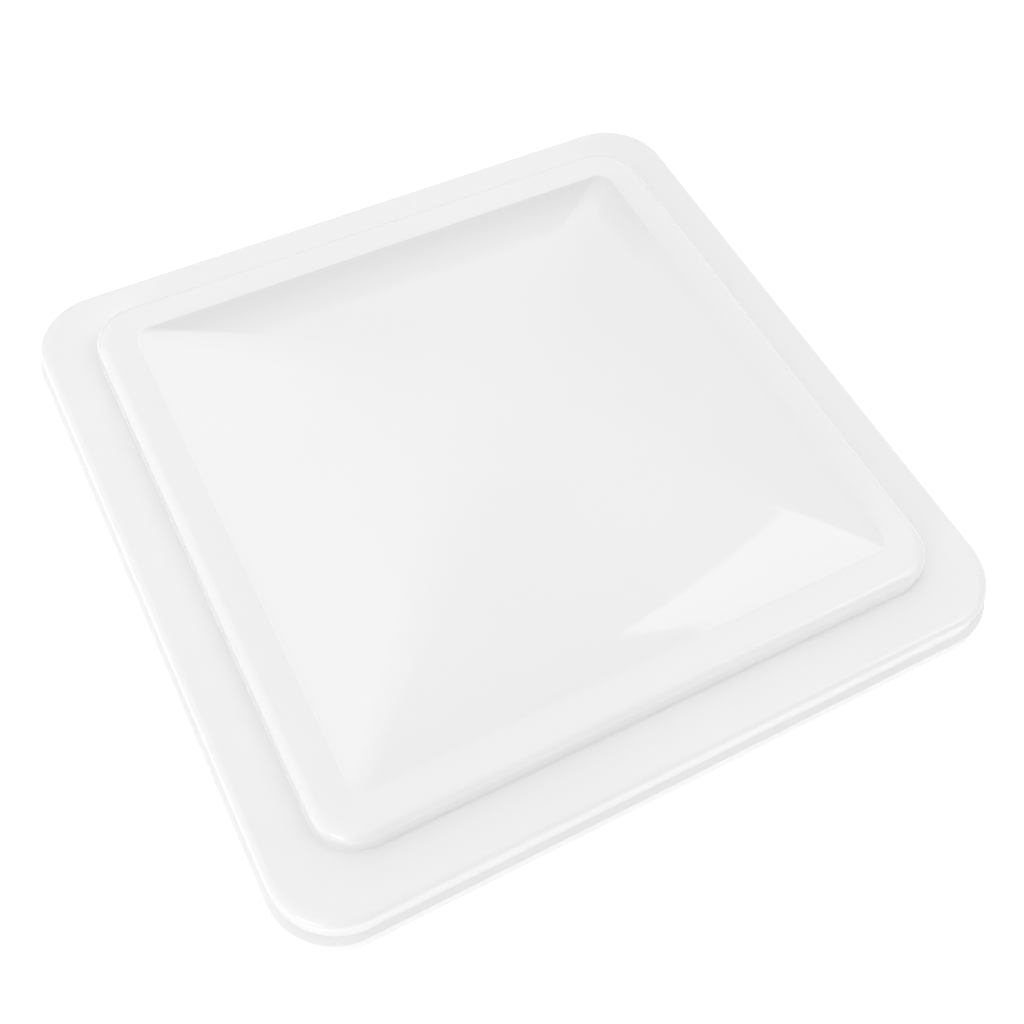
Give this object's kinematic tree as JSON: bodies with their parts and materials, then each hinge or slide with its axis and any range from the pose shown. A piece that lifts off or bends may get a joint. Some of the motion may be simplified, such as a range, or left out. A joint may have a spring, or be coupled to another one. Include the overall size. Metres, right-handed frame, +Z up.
{
  "type": "roof vent cover",
  "caption": "Square white roof vent lid with a raised ring and pillow dome, a rear piano hinge and a lift channel with a sliding arm clip underneath.",
  "frame": {"origin": "centre of the bounding box's underside: the plane that the skirt's edge stands on", "axes": "+Z up through the dome, +X along the hinge pin, +Y towards the hinge at the back"},
  "size_m": [0.4114, 0.4184, 0.075],
  "materials": {
    "white_plastic": "gloss, moulded",
    "seal_rubber": "matt, closed-cell foam",
    "hinge_aluminium": "mill finish",
    "fastener_steel": "zinc plated",
    "channel_steel": "galvanised, dull",
    "slider_nylon": "natural nylon, satin"
  },
  "bodies": {
    "hinge_base": {"hinge_base_leaf": "hinge_aluminium", "hinge_pin": "fastener_steel"},
    "lid": {"lid_shell": "white_plastic", "weather_seal": "seal_rubber", "hinge_lid_leaf": "hinge_aluminium", "hinge_rivet_1": "fastener_steel", "hinge_rivet_2": "fastener_steel", "hinge_rivet_3": "fastener_steel", "hinge_rivet_4": "fastener_steel", "hinge_rivet_5": "fastener_steel", "rivet_washer_1": "fastener_steel", "rivet_washer_2": "fastener_steel", "rivet_washer_3": "fastener_steel", "rivet_washer_4": "fastener_steel", "rivet_washer_5": "fastener_steel", "lift_channel": "channel_steel", "channel_screw_1": "fastener_steel", "channel_screw_2": "fastener_steel", "channel_screw_3": "fastener_steel", "channel_screw_4": "fastener_steel", "front_channel_stop": "slider_nylon", "rear_channel_stop": "slider_nylon"},
    "lift_slider": {"slider_shoe": "slider_nylon", "pivot_pin": "fastener_steel", "pin_retainer": "fastener_steel"},
    "arm_fork": {"arm_clip": "fastener_steel"}
  },
  "joints": [
    {"name": "lid_hinge", "type": "hinge", "parent": "hinge_base", "child": "lid", "pos_m": [0, 0.206, 0.0032], "axis": [-1, 0, 0], "range_deg": [0, 80]},
    {"name": "slider_travel", "type": "slide", "parent": "lid", "child": "lift_slider", "axis": [0, -1, 0], "range_m": [0, 0.127]},
    {"name": "arm_fork_pivot", "type": "hinge", "parent": "lift_slider", "child": "arm_fork", "pos_m": [0, 0.0602, 0.0435], "axis": [1, 0, 0], "range_deg": [-75, 75]}
  ]
}
